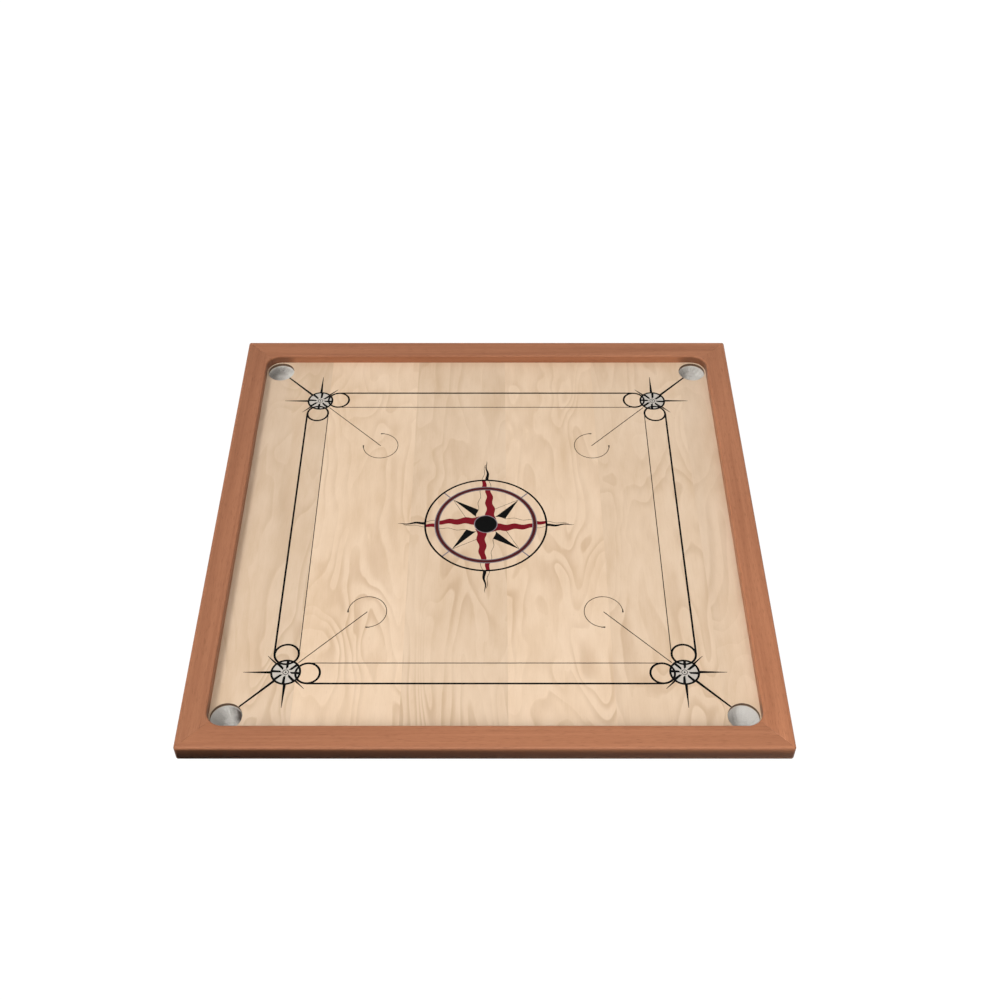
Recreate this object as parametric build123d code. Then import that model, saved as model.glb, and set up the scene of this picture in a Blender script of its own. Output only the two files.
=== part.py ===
"""Carrom board: a mitred hardwood frame around a veneered plywood field with four cloth pockets.

Millimetres, +Z up. The origin is at the centre of the board, on the plane it rests on, and the
front edge faces -Y. Every separate piece is its own node, written to parts/NODE.step.
"""

from build123d import *
import os
from math import atan2, cos, degrees, hypot, pi, radians, sin, sqrt

# Frame
BOARD = 812.0  # outside of the frame, each way
RAIL_WIDTH = 36.0
RAIL_HEIGHT = 27.0
RAIL_ABOVE_FIELD = 15.0  # the rail that the pieces rebound from
OUTER_CORNER_R = 3.7
TOP_ROUND_R = 3.5
INNER_ROUND_R = 2.5
BOTTOM_ROUND_R = 3.0
REBATE = 12.0  # how far the panel reaches under each rail

# Panel
CORE_THICK = 4.8
VENEER_THICK = 0.6
PANEL_GAP = 0.5  # between the panel's edge and the rebate
POCKET_R = 21.65
POCKET_FROM_RAIL = 23.4  # pocket centre to each rail, and the radius of the frame's inner corners
STRIP_WIDTH = 145.6  # one leaf of the face veneer
FIRST_SEAM = -260.0

# Battens that the board stands on, half-lapped into a grid
BATTEN_THICK = 20.0
BATTEN_WIDTH = 32.0
BATTEN_OFFSET = 190.0
BATTEN_LENGTH = 740.0
BATTEN_CHAMFER = 2.0

# Hidden tongues in the mitres
SPLINE_LONG = 20.0
SPLINE_WIDE = 16.0
SPLINE_THICK = 3.2
SPLINE_FROM_CENTRE = 388.5

# Fasteners
RAIL_SCREW_LENGTH = 16.0
BATTEN_SCREW_LENGTH = 23.5
SCREW_HEAD_R = 3.5
SCREW_HEAD_DEPTH = 2.6
SCREW_SHANK_R = 1.6
SCREW_FROM_EDGE = 5.5
SCREW_SINK = 1.0  # how far the batten screws' heads lie below the wood
RAIL_SCREW_SPOTS = (-300.0, -150.0, 0.0, 150.0, 300.0)
BATTEN_SCREW_SPOTS = (-320.0, -95.0, 95.0, 320.0)
STAPLES_PER_POUCH = 8
STAPLE_CIRCLE_R = 27.0
STAPLE_CROWN = 10.0
STAPLE_WIRE = 0.7
STAPLE_LEG = 4.8

# Pouches under the pockets
CLOTH_THICK = 0.8
POUCH_FLANGE_R = 31.0
POUCH_DEPTH = 13.0  # below the underside of the panel

# Printed markings, all measured from the centre of the board
INK = 0.08  # thickness of a printed layer
BASE_OUT = 293.1  # thick outer base line
BASE_IN = 258.7  # thin inner base line
BASE_LINE = 2.8
THIN_LINE = 1.2
HAIR_LINE = 0.6
BASE_CIRCLE_R = 16.8
BASE_CIRCLE_LINE = 3.1
BASE_CIRCLE_ALONG = 243.9  # base circle's place along its own pair of lines
WHEEL_AT = 274.2
WHEEL_R = 19.7
WHEEL_RING = 3.0
SPIKE_REACH, SPIKE_BASE, SPIKE_TIP = 58.5, 4.2, 0.6
SIDE_SPIKE_REACH, SIDE_SPIKE_BASE = 38.8, 3.0
POCKET_LINE_BASE, POCKET_LINE_END = 3.8, 2.4
ARC_LINE = 1.0
ARC_HEAD = 2.4
TICK_LINE = 2.0
ARROW_AT = 168.7
ARROW_ARC_R = 27.6
ARROW_HEAD = 5.0
SPOT_R = 16.6
SPOT_RING = 1.3
ROSE_RING_R = 74.2
ROSE_RING = 4.6
ROSE_EDGE = 1.3
ROSE_OUTER_R = 91.9
ROSE_OUTER_LINE = 2.9
ROSE_TIP = 133.4
RAY_HALF_WIDTH = 16.0  # at the centre; the ray narrows from here to its tip
RAY_WAVE = 1.5
RAY_WAVE_LENGTH = 25.0
KITE_CORNER = (28.0, 13.2)

# Worked-out sizes
FIELD = BOARD - 2 * RAIL_WIDTH
PANEL = FIELD + 2 * (REBATE - PANEL_GAP)
PANEL_BOTTOM = BATTEN_THICK
FIELD_Z = PANEL_BOTTOM + CORE_THICK + 2 * VENEER_THICK
RAIL_TOP = FIELD_Z + RAIL_ABOVE_FIELD
RAIL_BOTTOM = RAIL_TOP - RAIL_HEIGHT
POCKET_AT = FIELD / 2 - POCKET_FROM_RAIL
CORNERS = {
    "front_left": (-1, -1),
    "front_right": (1, -1),
    "back_right": (1, 1),
    "back_left": (-1, 1),
}
QUARTER_TURN = {"back_right": 0, "back_left": 90, "front_left": 180, "front_right": 270}

os.makedirs("parts", exist_ok=True)


def save(node, shape):
    """Writes one node's STEP file."""
    export_step(shape, f"parts/{node}.step")


def group(solids):
    """Joins separate solids that share a node."""
    return Compound(children=list(solids))


def square_plate(size, thick, bottom):
    """A square plate centred on the board, with its underside at the given height."""
    return Pos(0, 0, bottom) * Box(size, size, thick, align=(Align.CENTER, Align.CENTER, Align.MIN))


def pocket_cylinders(radius):
    """Four tall cylinders, one through each pocket."""
    spots = [Pos(x * POCKET_AT, y * POCKET_AT, FIELD_Z) for x, y in CORNERS.values()]
    return [spot * Cylinder(radius, 4 * BATTEN_THICK) for spot in spots]


# ---------------------------------------------------------------- fasteners


def screw(length):
    """A countersunk wood screw, head down at the origin, pointing up."""
    outline = Polyline(
        (0, 0),
        (SCREW_HEAD_R, 0),
        (SCREW_SHANK_R, SCREW_HEAD_DEPTH),
        (SCREW_SHANK_R, length - 4.0),
        (0, length),
        close=True,
    )
    return revolve(Plane.XZ * make_face(outline), Axis.Z)


def screw_with_recess(length):
    """The same screw with its cross recess."""
    recess = Box(4.0, 0.9, 3.0) + Box(0.9, 4.0, 3.0)
    return screw(length) - recess


def rail_screw_places():
    """Five screws along each side, through the panel's edge into the rail."""
    across = PANEL / 2 - SCREW_FROM_EDGE
    for along in RAIL_SCREW_SPOTS:
        for side in (-across, across):
            yield Pos(along, side, PANEL_BOTTOM)
            yield Pos(side, along, PANEL_BOTTOM)


def batten_screw_places():
    """Four screws along each batten, sunk a little into its underside."""
    for along in BATTEN_SCREW_SPOTS:
        for side in (-BATTEN_OFFSET, BATTEN_OFFSET):
            yield Pos(along, side, SCREW_SINK)
            yield Pos(side, along, SCREW_SINK)


def staple_places(corner):
    """Where the staples of one pouch sit, each turned to lie along the pouch's rim."""
    x, y = CORNERS[corner]
    centre = Pos(x * POCKET_AT, y * POCKET_AT, PANEL_BOTTOM - CLOTH_THICK)
    for k in range(STAPLES_PER_POUCH):
        turn = Rot(0, 0, 360 / STAPLES_PER_POUCH * (k + 0.5))
        yield centre * turn * Pos(0, STAPLE_CIRCLE_R, 0)


def staple():
    """A wire staple seen from below: a crown under the cloth and two legs up into the panel."""
    low = (Align.CENTER, Align.CENTER, Align.MAX)
    up = (Align.CENTER, Align.CENTER, Align.MIN)
    body = Box(STAPLE_CROWN, STAPLE_WIRE * 1.6, STAPLE_WIRE, align=low)
    for side in (-1, 1):
        leg = Box(STAPLE_WIRE, STAPLE_WIRE * 1.6, STAPLE_LEG, align=up)
        body += Pos(side * (STAPLE_CROWN - STAPLE_WIRE) / 2, 0, 0) * leg
    return body


RAIL_SCREWS = [place * screw(RAIL_SCREW_LENGTH) for place in rail_screw_places()]
BATTEN_SCREWS = [place * screw(BATTEN_SCREW_LENGTH) for place in batten_screw_places()]
HEAD_SINKS = [place * Cylinder(SCREW_HEAD_R, 2 * SCREW_SINK) for place in batten_screw_places()]
STAPLES = {name: [place * staple() for place in staple_places(name)] for name in CORNERS}
ALL_STAPLES = [piece for pieces in STAPLES.values() for piece in pieces]

save("rail_screws", group(p * screw_with_recess(RAIL_SCREW_LENGTH) for p in rail_screw_places()))
save("batten_screws", group(p * screw_with_recess(BATTEN_SCREW_LENGTH) for p in batten_screw_places()))
for corner, pieces in STAPLES.items():
    save(f"pouch_staples_{corner}", group(pieces))


# ---------------------------------------------------------------- frame


def spline_block(corner):
    """The tongue across one mitre."""
    x, y = CORNERS[corner]
    place = Pos(x * SPLINE_FROM_CENTRE, y * SPLINE_FROM_CENTRE, (FIELD_Z + RAIL_TOP) / 2)
    return place * Rot(0, 0, degrees(atan2(y, x))) * Box(SPLINE_LONG, SPLINE_WIDE, SPLINE_THICK)


def frame_ring():
    """The whole frame before it is cut into its four mitred rails."""
    ring = square_plate(BOARD, RAIL_HEIGHT, RAIL_BOTTOM)
    ring = fillet(ring.edges().filter_by(Axis.Z), OUTER_CORNER_R)
    ring = fillet(ring.faces().sort_by(Axis.Z)[-1].edges(), TOP_ROUND_R)
    ring = fillet(ring.faces().sort_by(Axis.Z)[0].edges(), BOTTOM_ROUND_R)
    opening = extrude(RectangleRounded(FIELD, FIELD, POCKET_FROM_RAIL), RAIL_HEIGHT)
    ring -= Pos(0, 0, RAIL_BOTTOM) * opening
    inner_loop = ring.faces().sort_by(Axis.Z)[-1].inner_wires()[0].edges()
    ring = fillet(inner_loop, INNER_ROUND_R)
    return ring - square_plate(FIELD + 2 * REBATE, FIELD_Z - RAIL_BOTTOM, RAIL_BOTTOM)


def mitre_wedge(turn):
    """A triangle from the board's centre that holds one side of the frame, front when turn is 0."""
    reach = BOARD
    sector = make_face(Polyline((0, 0), (-reach, -reach), (reach, -reach), close=True))
    return Rot(0, 0, turn) * extrude(sector, 2 * RAIL_TOP)


ring = frame_ring()
for corner in CORNERS:
    tongue = spline_block(corner)
    ring -= tongue
    save(f"mitre_spline_{corner}", tongue)
for piece in RAIL_SCREWS:
    ring -= piece
for side, turn in {"front": 0, "right": 90, "back": 180, "left": 270}.items():
    save(f"rail_{side}", ring & mitre_wedge(turn))


# ---------------------------------------------------------------- panel


POCKET_HOLES = pocket_cylinders(POCKET_R)
THROUGH_PANEL = POCKET_HOLES + RAIL_SCREWS + BATTEN_SCREWS + ALL_STAPLES

backing = square_plate(PANEL, VENEER_THICK, PANEL_BOTTOM)
save("panel_backing", backing.cut(*THROUGH_PANEL))
core = square_plate(PANEL, CORE_THICK, PANEL_BOTTOM + VENEER_THICK)
save("panel_core", core.cut(*THROUGH_PANEL))

seams = [FIRST_SEAM + k * STRIP_WIDTH for k in range(5)]
edges = [-PANEL / 2] + seams + [PANEL / 2]
for number, (left, right) in enumerate(zip(edges, edges[1:]), start=1):
    leaf = Box(right - left, PANEL, VENEER_THICK, align=(Align.MIN, Align.CENTER, Align.MAX))
    leaf = Pos(left, 0, FIELD_Z) * leaf
    save(f"face_veneer_{number}", leaf.cut(*POCKET_HOLES, *RAIL_SCREWS))


# ---------------------------------------------------------------- pouches


def pouch_cloth():
    """A shallow cloth bag, hung by a flat rim under the panel, with its top at the origin."""
    outer = [(POUCH_FLANGE_R, 0), (POUCH_FLANGE_R, -CLOTH_THICK), (23.2, -CLOTH_THICK)]
    drop = [(22.6, -3.5), (21.0, -8.2), (17.0, -11.3), (10.0, -POUCH_DEPTH)]
    rise = [(10.0, CLOTH_THICK - POUCH_DEPTH), (16.4, -10.4), (20.1, -7.6), (21.7, -3.3)]
    outline = outer + drop + [(0, -POUCH_DEPTH), (0, CLOTH_THICK - POUCH_DEPTH)] + rise
    outline += [(POCKET_R + 0.3, 0)]
    return revolve(Plane.XZ * make_face(Polyline(*outline, close=True)), Axis.Z)


for corner, (x, y) in CORNERS.items():
    pouch = Pos(x * POCKET_AT, y * POCKET_AT, PANEL_BOTTOM) * pouch_cloth()
    save(f"pocket_pouch_{corner}", pouch.cut(*STAPLES[corner]))


# ---------------------------------------------------------------- battens


def batten(side, turn):
    """One bar of the grid; the bars along X are notched on top, those along Y underneath."""
    low = (Align.CENTER, Align.CENTER, Align.MIN)
    bar = Box(BATTEN_LENGTH, BATTEN_WIDTH, BATTEN_THICK, align=low)
    lower_edges = bar.faces().sort_by(Axis.Z)[0].edges()
    bar = chamfer(lower_edges, BATTEN_CHAMFER)
    notch_from = BATTEN_THICK / 2 if turn == 0 else 0
    for spot in (-BATTEN_OFFSET, BATTEN_OFFSET):
        notch = Box(BATTEN_WIDTH, BATTEN_WIDTH, BATTEN_THICK / 2, align=low)
        bar -= Pos(spot, 0, notch_from) * notch
    bar = Rot(0, 0, turn) * Pos(0, side * BATTEN_OFFSET, 0) * bar
    return bar.cut(*BATTEN_SCREWS, *HEAD_SINKS)


save("batten_front", batten(-1, 0))
save("batten_back", batten(1, 0))
save("batten_right", batten(-1, 90))
save("batten_left", batten(1, 90))


# ---------------------------------------------------------------- printed markings


def ring_2d(radius, width):
    """A circle drawn with a line of the given width."""
    return Circle(radius + width / 2) - Circle(radius - width / 2)


def stroke(start, end, wide_start, wide_end):
    """A straight stroke that may taper, between two points."""
    run = hypot(end[0] - start[0], end[1] - start[1])
    side_x = -(end[1] - start[1]) / run / 2
    side_y = (end[0] - start[0]) / run / 2
    corners = (
        (start[0] + side_x * wide_start, start[1] + side_y * wide_start),
        (start[0] - side_x * wide_start, start[1] - side_y * wide_start),
        (end[0] - side_x * wide_end, end[1] - side_y * wide_end),
        (end[0] + side_x * wide_end, end[1] + side_y * wide_end),
    )
    return make_face(Polyline(*corners, close=True))


def polar(radius, angle):
    """A point given by its distance from the origin and its angle in degrees."""
    return (radius * cos(radians(angle)), radius * sin(radians(angle)))


def printed(flat):
    """The flat marking as a thin layer on the field."""
    return [Pos(0, 0, FIELD_Z) * extrude(face, INK) for face in flat.faces()]


def four_times(flat):
    """The marking repeated at each quarter turn about the board's centre."""
    return [Rot(0, 0, turn) * flat for turn in (0, 90, 180, 270)]


def wheel_lines():
    """Ring, spokes and points of a corner wheel about the origin, with the field's corner at 45 degrees."""
    reach_pocket = sqrt(2) * (POCKET_AT - WHEEL_AT) - POCKET_R
    lines = ring_2d(WHEEL_R, WHEEL_RING)
    for angle in (0, 90):
        lines += Rot(0, 0, angle) * stroke((WHEEL_R, 0.3), (SPIKE_REACH, 0), SPIKE_BASE, SPIKE_TIP)
    lines += Rot(0, 0, 45) * stroke((WHEEL_R, 0), (reach_pocket, 0), POCKET_LINE_BASE, POCKET_LINE_END)
    for angle in (135, -45):
        lines += Rot(0, 0, angle) * stroke((WHEEL_R, 0), (SIDE_SPIKE_REACH, 0), SIDE_SPIKE_BASE, SPIKE_TIP)
    for k in range(8):
        blade = Polyline((5.2, 0.4), (WHEEL_R, 0.4), (WHEEL_R, -3.8), (8.0, -2.8), close=True)
        lines += Rot(0, 0, 45 * k) * make_face(blade)
    lines += ring_2d(3.9, 1.0)
    return lines + Circle(1.3)


def corner_marking():
    """The wheel with its two base circles, at the back right corner of the field."""
    place = Pos(WHEEL_AT, WHEEL_AT)
    between = (BASE_IN + BASE_OUT) / 2
    marking = place * wheel_lines()
    circle = ring_2d(BASE_CIRCLE_R, BASE_CIRCLE_LINE)
    marking += Pos(BASE_CIRCLE_ALONG, between) * circle
    return marking + Pos(between, BASE_CIRCLE_ALONG) * circle


def arrow():
    """A thin line towards the centre that ends in three quarters of a circle with two small heads."""
    from_wheel = WHEEL_AT - (WHEEL_R + 3.0) / sqrt(2)
    drawn = stroke((from_wheel, from_wheel), (ARROW_AT, ARROW_AT), THIN_LINE, THIN_LINE)
    gap = make_face(Polyline((0, 0), (60, 0), (60, 60), (0, 60), close=True))
    arc = ring_2d(ARROW_ARC_R, ARC_LINE) - gap
    arc += stroke((ARROW_ARC_R, -ARROW_HEAD), (ARROW_ARC_R, 1.0), ARC_LINE, ARC_HEAD)
    arc += stroke((-ARROW_HEAD, ARROW_ARC_R), (1.0, ARROW_ARC_R), ARC_LINE, ARC_HEAD)
    return [drawn, Pos(ARROW_AT, ARROW_AT) * arc]


corner_flat = corner_marking()
wheel_hub = Pos(WHEEL_AT, WHEEL_AT) * Circle(WHEEL_R - WHEEL_RING / 2) - corner_flat
arrow_parts = arrow()
for corner, turn in QUARTER_TURN.items():
    turned = Rot(0, 0, turn)
    save(f"print_wheel_{corner}", group(printed(turned * corner_flat)))
    save(f"print_wheel_fill_{corner}", group(printed(turned * wheel_hub)))
    save(f"print_arrow_{corner}", group(solid for part in arrow_parts for solid in printed(turned * part)))

thick_line = stroke((-BASE_CIRCLE_ALONG, BASE_OUT), (BASE_CIRCLE_ALONG, BASE_OUT), BASE_LINE, BASE_LINE)
thin_line = stroke((-BASE_CIRCLE_ALONG, BASE_IN), (BASE_CIRCLE_ALONG, BASE_IN), THIN_LINE, THIN_LINE)
thick_lines = []
thin_lines = []
for turn, turned in zip((0, 90, 180, 270), four_times(thick_line)):
    rings = corner_flat + Rot(0, 0, 90) * corner_flat
    rings = Rot(0, 0, turn) * rings
    thick_lines += printed(turned - rings)
    thin_lines += printed(Rot(0, 0, turn) * thin_line - rings)
save("print_base_lines", group(thick_lines))
save("print_thin_lines", group(thin_lines))


# ---------------------------------------------------------------- the rose in the middle


def ray_half_width(radius):
    """Half the width of a wavy ray, narrowing from the spot to its tip."""
    return RAY_HALF_WIDTH * (1 - radius / ROSE_TIP) ** 0.97 + 0.25


def ray_sway(radius):
    """How far the ray waves sideways at this distance from the centre."""
    return RAY_WAVE * sin(2 * pi * radius / RAY_WAVE_LENGTH - pi) * (1 - 0.35 * radius / ROSE_TIP)


def ray_band(start, end, side_a, side_b, steps=26):
    """The part of a ray between two radii and two shares of its half width, pointing along +X."""
    radii = [start + (end - start) * k / steps for k in range(steps + 1)]
    one = [(r, ray_sway(r) + side_a * ray_half_width(r)) for r in radii]
    other = [(r, ray_sway(r) + side_b * ray_half_width(r)) for r in reversed(radii)]
    edge = [Spline(*one), Line(one[-1], other[0]), Spline(*other), Line(other[-1], one[0])]
    return make_face(edge)


def ray_outline(start, end, side):
    """A hair line along one wavy edge of a ray."""
    radii = [start + (end - start) * k / 26 for k in range(27)]
    inner = [(r, ray_sway(r) + side * (ray_half_width(r) - HAIR_LINE)) for r in radii]
    outer = [(r, ray_sway(r) + side * ray_half_width(r)) for r in reversed(radii)]
    edge = [Spline(*inner), Line(inner[-1], outer[0]), Spline(*outer), Line(outer[-1], inner[0])]
    return make_face(edge)


ring_in = ROSE_RING_R - ROSE_RING / 2 - ROSE_EDGE
spot_edge = SPOT_R + SPOT_RING
circles = Circle(spot_edge) + ring_2d(ROSE_RING_R, ROSE_RING + 2 * ROSE_EDGE)
circles += ring_2d(ROSE_OUTER_R, ROSE_OUTER_LINE)

red_inside = ray_band(10.0, ROSE_RING_R, -1, 0) - circles
red_beyond = ray_band(ROSE_RING_R, ROSE_OUTER_R, 0, 1) - circles
dark_tip = ray_band(ROSE_OUTER_R, ROSE_TIP, -1, 0) - circles
hair_inside = ray_outline(10.0, ROSE_RING_R, 1) - circles
hair_beyond = ray_outline(ROSE_RING_R, ROSE_OUTER_R, -1) - circles
hair_tip = ray_outline(ROSE_OUTER_R, ROSE_TIP - 8.0, 1) - circles

cross = Sketch() + four_times(ray_band(0.0, ROSE_OUTER_R, -1, 1))
kite_along, kite_aside = KITE_CORNER
kite_dark = make_face(Polyline((0, 0), (kite_along, -kite_aside), (ring_in + 0.5, 0), close=True))
kite_open = stroke((kite_along, kite_aside), (ring_in - 1.0, 0.4), HAIR_LINE, HAIR_LINE)
kite_dark = Rot(0, 0, 45) * kite_dark - cross - circles
kite_open = Rot(0, 0, 45) * kite_open - cross - circles - kite_dark
tick = Rot(0, 0, 45) * stroke((ROSE_RING_R, 0), (ROSE_OUTER_R, 0), TICK_LINE, TICK_LINE) - circles


def layers_of(*flats):
    """Each marking of the rose at its four quarter turns, as printed layers."""
    return [solid for flat in flats for turned in four_times(flat) for solid in printed(turned)]


save("print_rose_spot", group(printed(Circle(SPOT_R))))
save("print_rose_outer_circle", group(printed(ring_2d(ROSE_OUTER_R, ROSE_OUTER_LINE))))
save("print_rose_maroon_ring", group(printed(ring_2d(ROSE_RING_R, ROSE_RING))))
save("print_rose_points", group(layers_of(kite_dark)))
save("print_rose_tips", group(layers_of(dark_tip)))
save("print_rose_red_rays", group(layers_of(red_inside, red_beyond)))
save("print_rose_hair_lines", group(layers_of(hair_inside, hair_beyond, hair_tip, kite_open)))

edge_r = ROSE_RING / 2 + ROSE_EDGE / 2
grey = printed(ring_2d(SPOT_R + SPOT_RING / 2, SPOT_RING)) + layers_of(tick)
for radius in (ROSE_RING_R - edge_r, ROSE_RING_R + edge_r):
    grey += printed(ring_2d(radius, ROSE_EDGE))
save("print_rose_grey", group(grey))
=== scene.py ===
"""Carrom board: frame rails, veneered panel, printed markings, cloth pouches, fixings and battens.

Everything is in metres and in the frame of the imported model: the origin is at the centre of the
board on the plane that its battens rest on, +Z is up and the front edge faces -Y.
"""

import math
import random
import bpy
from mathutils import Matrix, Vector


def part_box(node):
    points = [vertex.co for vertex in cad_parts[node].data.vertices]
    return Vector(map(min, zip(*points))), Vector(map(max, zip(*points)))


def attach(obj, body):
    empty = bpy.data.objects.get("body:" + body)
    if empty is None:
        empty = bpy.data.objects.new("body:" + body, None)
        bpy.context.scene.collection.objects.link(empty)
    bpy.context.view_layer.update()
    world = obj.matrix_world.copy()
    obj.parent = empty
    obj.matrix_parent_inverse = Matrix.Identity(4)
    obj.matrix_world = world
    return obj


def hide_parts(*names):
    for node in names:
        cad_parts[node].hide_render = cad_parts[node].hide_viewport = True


bl_info = {
    "name": "Carrom Board",
    "version": (1, 0, 0),
    "blender": (4, 5, 0),
    "location": "View3D > Sidebar > Carrom",
    "description": "Builds a carrom board around its packed frame",
    "category": "Add Mesh",
}

import bmesh
import bpy
from mathutils import Vector, noise
from mathutils.geometry import tessellate_polygon

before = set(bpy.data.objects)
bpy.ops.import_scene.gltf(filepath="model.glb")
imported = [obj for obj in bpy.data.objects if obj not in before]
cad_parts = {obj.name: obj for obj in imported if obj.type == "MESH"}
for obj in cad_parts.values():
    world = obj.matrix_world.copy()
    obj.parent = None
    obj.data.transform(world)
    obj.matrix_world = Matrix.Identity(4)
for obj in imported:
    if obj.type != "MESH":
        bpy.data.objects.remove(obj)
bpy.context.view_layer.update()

MM = 0.001
BODY = "root"
CORNERS = {
    "front_left": (-1, -1),
    "front_right": (1, -1),
    "back_right": (1, 1),
    "back_left": (-1, 1),
}
SIDES = {"front": 0, "right": 90, "back": 180, "left": 270}

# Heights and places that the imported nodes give
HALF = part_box("rail_right")[1].x
RAIL_BOTTOM, RAIL_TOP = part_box("rail_front")[0].z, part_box("rail_front")[1].z
PANEL_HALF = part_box("panel_core")[1].x
FIELD_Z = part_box("face_veneer_3")[1].z
FACE_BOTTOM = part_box("face_veneer_3")[0].z
CORE_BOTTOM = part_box("panel_core")[0].z
PANEL_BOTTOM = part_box("panel_backing")[0].z
POUCH_LOW, POUCH_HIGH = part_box("pocket_pouch_back_right")
POCKET_AT = (POUCH_LOW.x + POUCH_HIGH.x) / 2
RIM_R = (POUCH_HIGH.x - POUCH_LOW.x) / 2
BATTEN_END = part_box("batten_front")[1].x
BATTEN_AT = (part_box("batten_back")[0].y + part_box("batten_back")[1].y) / 2
BATTEN_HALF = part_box("batten_back")[1].y - BATTEN_AT


# ------------------------------------------------------------------ sizes and colours


def length(name, description, default):
    """A property that holds a length in metres."""
    return bpy.props.FloatProperty(
        name=name, description=description, default=default, unit="LENGTH", precision=5
    )


def share(name, description, default):
    """A property that holds a share from 0 to 1."""
    return bpy.props.FloatProperty(
        name=name, description=description, default=default, min=0.0, max=1.0, subtype="FACTOR"
    )


def colour(name, description, default):
    """A property that holds a colour."""
    return bpy.props.FloatVectorProperty(
        name=name, description=description, default=default, size=3, min=0.0, max=1.0, subtype="COLOR"
    )


def watts(name, description, default):
    """A property that holds the power of a lamp."""
    return bpy.props.FloatProperty(name=name, description=description, default=default, unit="POWER")


class CarromRailSettings(bpy.types.PropertyGroup):
    width: length("Width", "Width of each frame rail", 36 * MM)
    top_round: length("Top rounding", "Radius along the outer top edge", 3.5 * MM)
    lip_round: length("Lip rounding", "Radius along the inner top edge", 2.5 * MM)
    bottom_round: length("Bottom rounding", "Radius along the outer bottom edge", 3 * MM)
    outer_corner: length("Outer corner", "Radius of the frame's four upright corners", 3.7 * MM)
    inner_corner: length("Inner corner", "Radius of the frame's opening around each pocket", 23.4 * MM)
    rebate: length("Rebate", "How far the panel reaches under each rail", 12 * MM)
    mitre_gap: length("Mitre gap", "Half the hairline gap at each mitre", 0.05 * MM)
    mitre_ease: length("Mitre easing", "Rounding of the edges that meet at a mitre", 0.16 * MM)
    light: colour("Light grain", "Lighter wood of the rails", (0.495, 0.212, 0.109))
    dark: colour("Dark grain", "Darker wood of the rails", (0.262, 0.097, 0.046))
    coat: share("Lacquer", "Weight of the satin lacquer", 0.04)
    # painted shade: how far the inner walls round the pockets are darkened, standing in for the shade in the
    # frame's corners
    painted_corner_shade: share("Painted corner shade", "Dark of the inner walls round the pockets, where fingers reach in", 0.65)


class CarromPanelSettings(bpy.types.PropertyGroup):
    hole: length("Pocket hole", "Radius of the holes through the panel", 21.65 * MM)
    rim: length("Hole rim", "Rounding of the pocket holes' upper rim", 0.5 * MM)
    light: colour("Light veneer", "Lighter tone of the face veneer", (0.80, 0.612, 0.445))
    dark: colour("Dark veneer", "Darker tone of the face veneer", (0.60, 0.42, 0.265))
    ring: colour("Growth line", "Tone of the growth lines", (0.47, 0.30, 0.175))
    # partly painted shade: the core's own brown, darkened to match the shade on the pocket holes' walls
    core: colour("Core", "Cut edge of the core plies", (0.125, 0.072, 0.043))
    backing: colour("Backing", "Sanded veneer under the panel", (0.60, 0.43, 0.28))
    coat: share("Lacquer", "Weight of the lacquer on the field", 0.06)


class CarromPouchSettings(bpy.types.PropertyGroup):
    around: length("Cloth around", "Declared flat width of the cloth, and of its weave", 122 * MM)
    down: length("Cloth down", "Declared flat length of the cloth, rim to gathered end", 41 * MM)
    thick: length("Thickness", "Thickness of the cloth", 0.45 * MM)
    thread: length("Thread", "Distance between two threads", 0.55 * MM)
    colour: colour("Cotton", "Colour of the unbleached cotton", (0.66, 0.64, 0.60))
    # painted shade: the near black that one side of each pouch's cloth is darkened towards
    painted_shade_colour: colour("Painted pouch shade", "Colour of the cotton where it is soiled", (0.075, 0.055, 0.045))


class CarromFixingSettings(bpy.types.PropertyGroup):
    rail_screw: length("Rail screw", "Length of the screws into the rails", 16 * MM)
    batten_screw: length("Batten screw", "Length of the screws through the battens", 23.5 * MM)
    head: length("Screw head", "Radius of the screw heads", 3.5 * MM)
    shank: length("Screw shank", "Radius of the screws' thread", 1.6 * MM)
    wire: length("Staple wire", "Thickness of the staple wire", 0.7 * MM)
    crown: length("Staple crown", "Width of a staple", 10 * MM)
    leg: length("Staple leg", "Length of a staple's legs", 4.8 * MM)
    circle: length("Staple circle", "Radius of the ring of staples round a pocket", 27 * MM)
    zinc: colour("Zinc", "Colour of the plating", (0.60, 0.60, 0.585))


class CarromBattenSettings(bpy.types.PropertyGroup):
    chamfer: length("Chamfer", "Chamfer along the lower edges", 2 * MM)
    light: colour("Spring wood", "Lighter tone of the softwood", (0.66, 0.47, 0.28))
    dark: colour("Summer wood", "Darker lines of the softwood", (0.47, 0.27, 0.12))


class CarromInkSettings(bpy.types.PropertyGroup):
    black: colour("Black", "Black printing ink", (0.003, 0.003, 0.003))
    red: colour("Red", "Red printing ink", (0.165, 0.006, 0.013))
    maroon: colour("Maroon", "Dark red of the rose's ring", (0.064, 0.011, 0.012))
    grey: colour("Grey", "Grey of the fine rings and ticks", (0.20, 0.17, 0.19))
    hub: colour("Hub", "Pale grey between the blades of a corner wheel", (0.48, 0.44, 0.395))


class CarromStageSettings(bpy.types.PropertyGroup):
    sky: share("Sky", "Brightness of the even light from all round", 0.58)
    key: watts("Key light", "Power of the lamp high up on the left", 140.0)
    fill: watts("Fill light", "Power of the broader lamp in front", 38.0)


SETTINGS = {
    "rails": CarromRailSettings,
    "panel": CarromPanelSettings,
    "pouches": CarromPouchSettings,
    "fixings": CarromFixingSettings,
    "battens": CarromBattenSettings,
    "inks": CarromInkSettings,
    "stage": CarromStageSettings,
}


# ------------------------------------------------------------------ shader maths


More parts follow.
